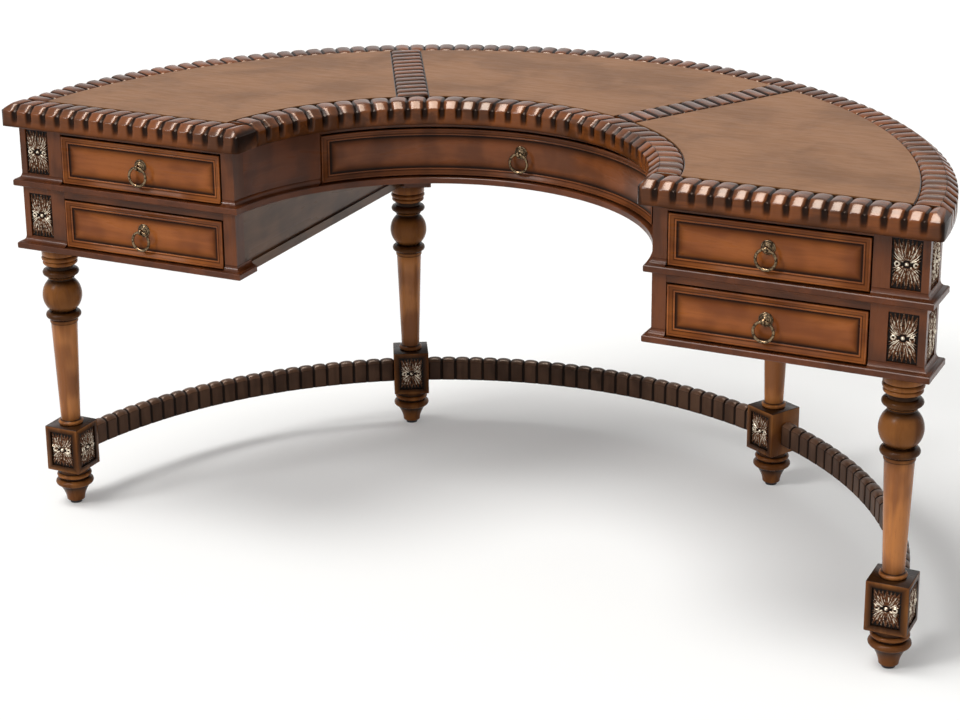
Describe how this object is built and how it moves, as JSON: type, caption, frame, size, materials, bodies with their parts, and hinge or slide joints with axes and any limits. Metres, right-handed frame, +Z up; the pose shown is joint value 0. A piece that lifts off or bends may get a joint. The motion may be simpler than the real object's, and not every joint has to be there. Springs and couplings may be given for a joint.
{
  "type": "demilune desk",
  "caption": "Half-round writing desk with carved border, leather top, drawers with ring pulls, turned legs and a curved stretcher.",
  "frame": {"origin": "on the floor, under the middle of the top's bounding box", "axes": "+Z up, +X to the right of the person who sits at the desk and looks along +Y into its hollow side"},
  "size_m": [1.6832, 0.8258, 0.775],
  "materials": {
    "case_cherry": "glazed cherry, satin lacquer",
    "border_cherry": "carved cherry with dark glaze in the grooves, satin lacquer",
    "drawer_cherry": "figured cherry veneer, satin lacquer",
    "leg_cherry": "turned wood, golden brown with dark glaze, satin lacquer",
    "stretcher_wood": "dark stained wood, satin lacquer",
    "carved_plaque": "carved wood, silver-gold leaf over a near-black ground",
    "leather": "mottled brown leather, satin",
    "inner_wood": "plain secondary wood, unfinished",
    "bronze": "dark bronze patina with bright worn edges",
    "steel": "zinc plated",
    "glide": "black, matte"
  },
  "bodies": {
    "desk": {"top_core": "inner_wood", "border_outer": "border_cherry", "border_inner": "border_cherry", "border_front_left": "border_cherry", "border_front_right": "border_cherry", "radial_bands": "border_cherry", "leather_panels": "leather", "glue_blocks": "inner_wood", "top_screws": "steel", "outer_wall_upper": "case_cherry", "aprons": "case_cherry", "outer_wall_lower_left": "case_cherry", "outer_wall_lower_right": "case_cherry", "inner_panels": "case_cherry", "partitions": "inner_wood", "top_rails": "case_cherry", "mid_rails": "case_cherry", "bottom_rails": "case_cherry", "upper_deck": "inner_wood", "lower_decks": "inner_wood", "outer_post_left": "case_cherry", "outer_post_right": "case_cherry", "inner_posts": "case_cherry", "back_posts": "case_cherry", "post_plaques": "carved_plaque", "mid_mouldings": "case_cherry", "bottom_mouldings": "case_cherry", "leg_front_left": "leg_cherry", "leg_front_right": "leg_cherry", "leg_back_left": "leg_cherry", "leg_back_right": "leg_cherry", "leg_plaques": "carved_plaque", "glides": "glide", "hanger_bolts": "steel", "stretcher_dowels": "inner_wood", "stretcher_left": "stretcher_wood", "stretcher_centre": "stretcher_wood", "stretcher_right": "stretcher_wood", "drawer_runners": "inner_wood"},
    "upper_left_drawer": {"upper_left_front": "drawer_cherry", "upper_left_box": "inner_wood", "upper_left_pull_mount": "bronze"},
    "upper_left_ring": {"upper_left_pull_ring": "bronze"},
    "upper_right_drawer": {"upper_right_front": "drawer_cherry", "upper_right_box": "inner_wood", "upper_right_pull_mount": "bronze"},
    "upper_right_ring": {"upper_right_pull_ring": "bronze"},
    "lower_left_drawer": {"lower_left_front": "drawer_cherry", "lower_left_box": "inner_wood", "lower_left_pull_mount": "bronze"},
    "lower_left_ring": {"lower_left_pull_ring": "bronze"},
    "lower_right_drawer": {"lower_right_front": "drawer_cherry", "lower_right_box": "inner_wood", "lower_right_pull_mount": "bronze"},
    "lower_right_ring": {"lower_right_pull_ring": "bronze"},
    "centre_drawer": {"centre_front": "drawer_cherry", "centre_box": "inner_wood", "centre_pull_mount": "bronze"},
    "centre_ring": {"centre_pull_ring": "bronze"}
  },
  "joints": [
    {"name": "upper_left_drawer_slide", "type": "slide", "parent": "desk", "child": "upper_left_drawer", "axis": [0, -1, 0], "range_m": [0, 0.2]},
    {"name": "upper_left_ring_swing", "type": "hinge", "parent": "upper_left_drawer", "child": "upper_left_ring", "pos_m": [-0.56811, -0.401, 0.686], "axis": [-1, 0, 0], "range_deg": [0, 110]},
    {"name": "upper_right_drawer_slide", "type": "slide", "parent": "desk", "child": "upper_right_drawer", "axis": [0, -1, 0], "range_m": [0, 0.2]},
    {"name": "upper_right_ring_swing", "type": "hinge", "parent": "upper_right_drawer", "child": "upper_right_ring", "pos_m": [0.56811, -0.401, 0.686], "axis": [-1, 0, 0], "range_deg": [0, 110]},
    {"name": "lower_left_drawer_slide", "type": "slide", "parent": "desk", "child": "lower_left_drawer", "axis": [0, -1, 0], "range_m": [0, 0.2]},
    {"name": "lower_left_ring_swing", "type": "hinge", "parent": "lower_left_drawer", "child": "lower_left_ring", "pos_m": [-0.56811, -0.401, 0.569], "axis": [-1, 0, 0], "range_deg": [0, 110]},
    {"name": "lower_right_drawer_slide", "type": "slide", "parent": "desk", "child": "lower_right_drawer", "axis": [0, -1, 0], "range_m": [0, 0.2]},
    {"name": "lower_right_ring_swing", "type": "hinge", "parent": "lower_right_drawer", "child": "lower_right_ring", "pos_m": [0.56811, -0.401, 0.569], "axis": [-1, 0, 0], "range_deg": [0, 110]},
    {"name": "centre_drawer_slide", "type": "slide", "parent": "desk", "child": "centre_drawer", "axis": [0, -1, 0], "range_m": [0, 0.2]},
    {"name": "centre_ring_swing", "type": "hinge", "parent": "centre_drawer", "child": "centre_ring", "pos_m": [0, -0.057, 0.686], "axis": [-1, 0, 0], "range_deg": [0, 110]}
  ]
}
